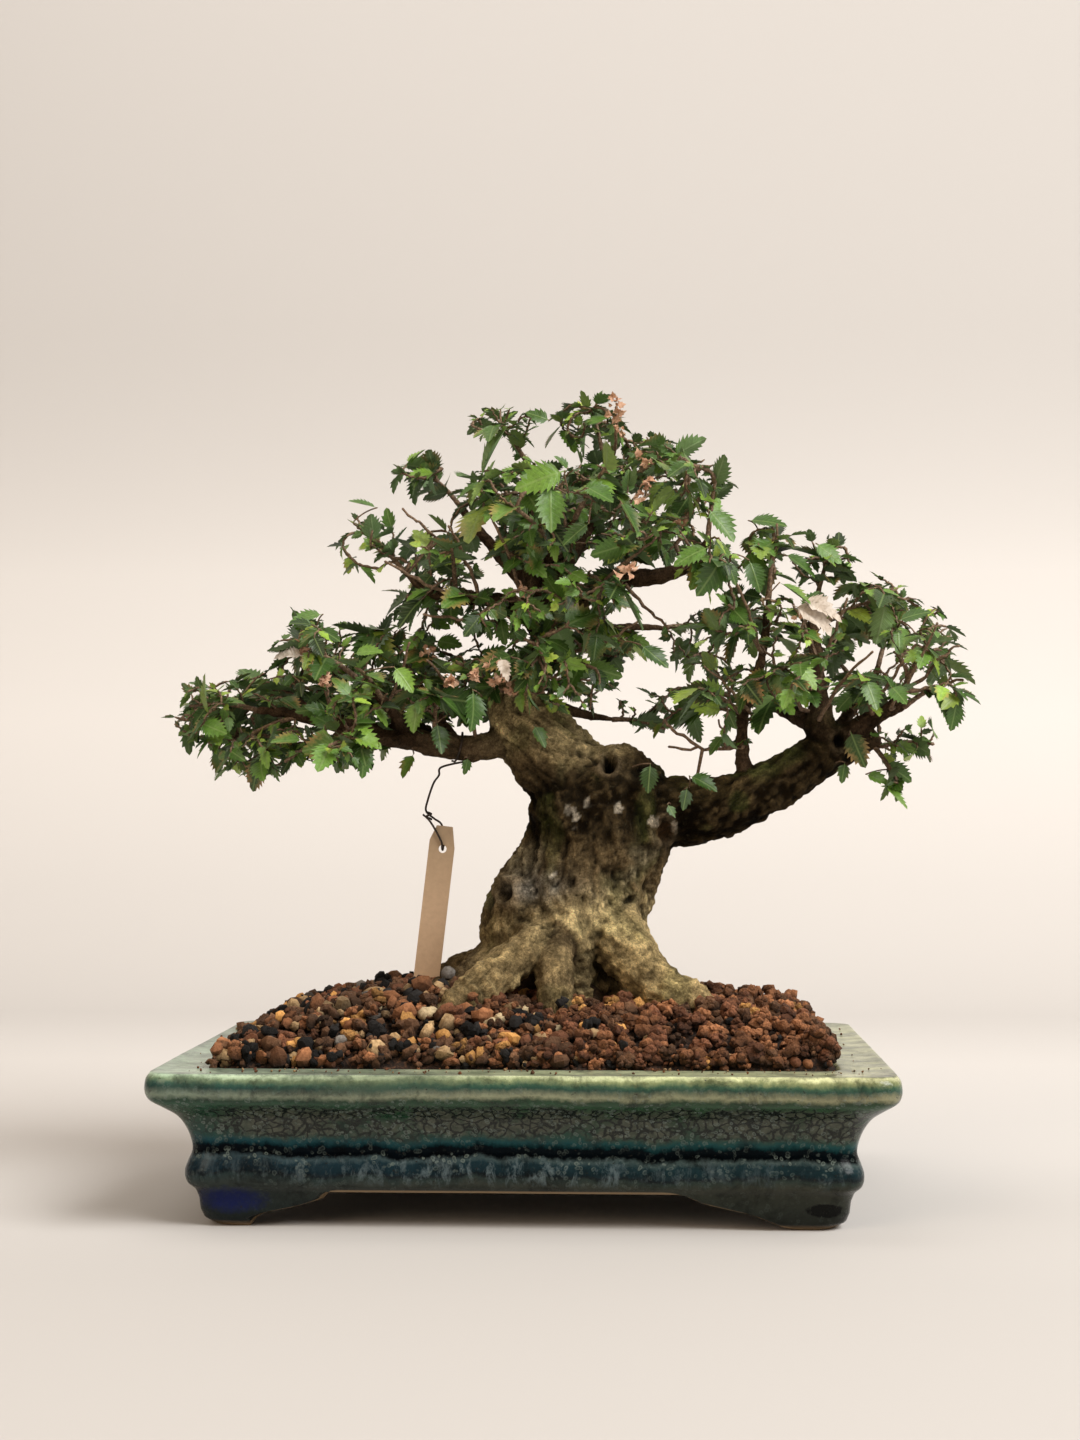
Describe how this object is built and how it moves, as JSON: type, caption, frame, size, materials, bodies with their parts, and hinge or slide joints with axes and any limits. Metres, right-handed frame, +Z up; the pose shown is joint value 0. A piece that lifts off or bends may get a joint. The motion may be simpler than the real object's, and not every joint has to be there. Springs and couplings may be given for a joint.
{
  "type": "elm bonsai in a glazed pot",
  "caption": "Leaning elm bonsai with flared roots, two spreading limbs and toothed leaves, in a glazed rectangular pot on feet, with a blank label.",
  "frame": {"origin": "bottom centre of the whole part's box, on the surface that the pot's feet stand on", "axes": "+Z up, +X to the right and +Y away, seen from the front of the tree"},
  "size_m": [0.4558, 0.285, 0.4465],
  "materials": {
    "glaze": "gloss",
    "soil_mix": "rough",
    "bark": "rough",
    "foliage": "satin",
    "label_film": "satin",
    "iron_wire": "satin",
    "screen_net": "matte"
  },
  "bodies": {
    "root": {"pot": "glaze", "soil": "soil_mix", "trunk": "bark", "plant_label": "label_film", "label_wire": "iron_wire", "drain_screen_left": "screen_net", "drain_screen_right": "screen_net", "spray_left_1": "foliage", "spray_left_2": "foliage", "spray_left_3": "foliage", "spray_left_4": "foliage", "spray_left_5": "foliage", "spray_left_6": "foliage", "spray_left_7": "foliage", "spray_left_8": "foliage", "spray_left_9": "foliage", "spray_left_10": "foliage", "spray_left_11": "foliage", "spray_left_12": "foliage", "spray_left_13": "foliage", "spray_crown_1": "foliage", "spray_crown_2": "foliage", "spray_crown_3": "foliage", "spray_crown_4": "foliage", "spray_crown_5": "foliage", "spray_crown_6": "foliage", "spray_crown_7": "foliage", "spray_crown_8": "foliage", "spray_crown_9": "foliage", "spray_crown_10": "foliage", "spray_crown_11": "foliage", "spray_crown_12": "foliage", "spray_crown_13": "foliage", "spray_crown_14": "foliage", "spray_crown_15": "foliage", "spray_crown_16": "foliage", "spray_crown_17": "foliage", "spray_crown_18": "foliage", "spray_crown_19": "foliage", "spray_low_1": "foliage", "spray_low_2": "foliage", "spray_low_3": "foliage", "spray_right_1": "foliage", "spray_right_2": "foliage", "spray_right_3": "foliage", "spray_right_4": "foliage", "spray_right_5": "foliage", "spray_right_6": "foliage", "spray_right_7": "foliage", "spray_right_8": "foliage", "spray_right_9": "foliage", "spray_right_10": "foliage", "spray_right_11": "foliage", "spray_right_12": "foliage", "spray_right_13": "foliage", "spray_right_14": "foliage", "spray_right_15": "foliage", "spray_right_16": "foliage"}
  },
  "joints": []
}
